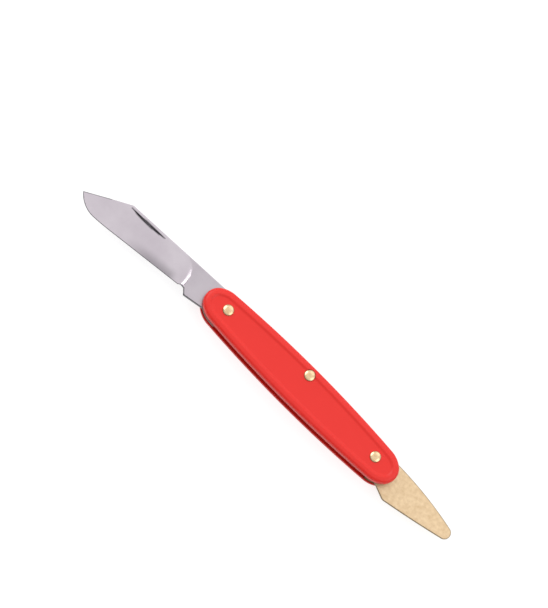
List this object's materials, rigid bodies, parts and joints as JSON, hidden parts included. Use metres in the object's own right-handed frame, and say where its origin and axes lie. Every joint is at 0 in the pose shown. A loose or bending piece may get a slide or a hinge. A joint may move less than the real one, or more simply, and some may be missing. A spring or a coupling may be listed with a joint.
{
  "type": "folding budding knife",
  "caption": "Folding budding knife with a nicked clip-point steel blade and a flat brass bark lifter at opposite ends of a riveted red moulded handle.",
  "frame": {"origin": "bottom centre of the box round the opened knife: the handle's middle is 15.05 mm to +X and 0.72 mm to +Y of it, and the rear scale's rim lies on Z = 0", "axes": "+X along the handle towards the bark lifter, +Y to the back of the handle away from the open belly, +Z out of the front scale"},
  "size_m": [0.1927, 0.0186, 0.0137],
  "materials": {
    "scale": "moulded, soft gloss",
    "liner": "rolled sheet",
    "spring": "ground and hardened",
    "blade": "fine satin, ground",
    "bark_lifter": "scuffed satin sheet",
    "rivet": "polished head"
  },
  "bodies": {
    "handle": {"front_scale": "scale", "rear_scale": "scale", "front_liner": "liner", "centre_liner": "liner", "rear_liner": "liner", "blade_spring": "spring", "lifter_spring": "spring", "blade_pivot_rivet": "rivet", "spring_rivet": "rivet", "lifter_pivot_rivet": "rivet", "blade_pivot_burr": "rivet", "spring_rivet_burr": "rivet", "lifter_pivot_burr": "rivet"},
    "pruning_blade": {"blade": "blade"},
    "lifter": {"bark_lifter": "bark_lifter"}
  },
  "joints": [
    {"name": "blade_hinge", "type": "hinge", "parent": "handle", "child": "pruning_blade", "pos_m": [-0.02495, 0.00122, 0.00765], "axis": [0, 0, 1], "range_deg": [0, 171], "deforming": ["blade_spring"]},
    {"name": "lifter_hinge", "type": "hinge", "parent": "handle", "child": "lifter", "pos_m": [0.05415, 0.00132, 0.0053], "axis": [0, 0, -1], "range_deg": [0, 166], "deforming": ["lifter_spring"]}
  ]
}
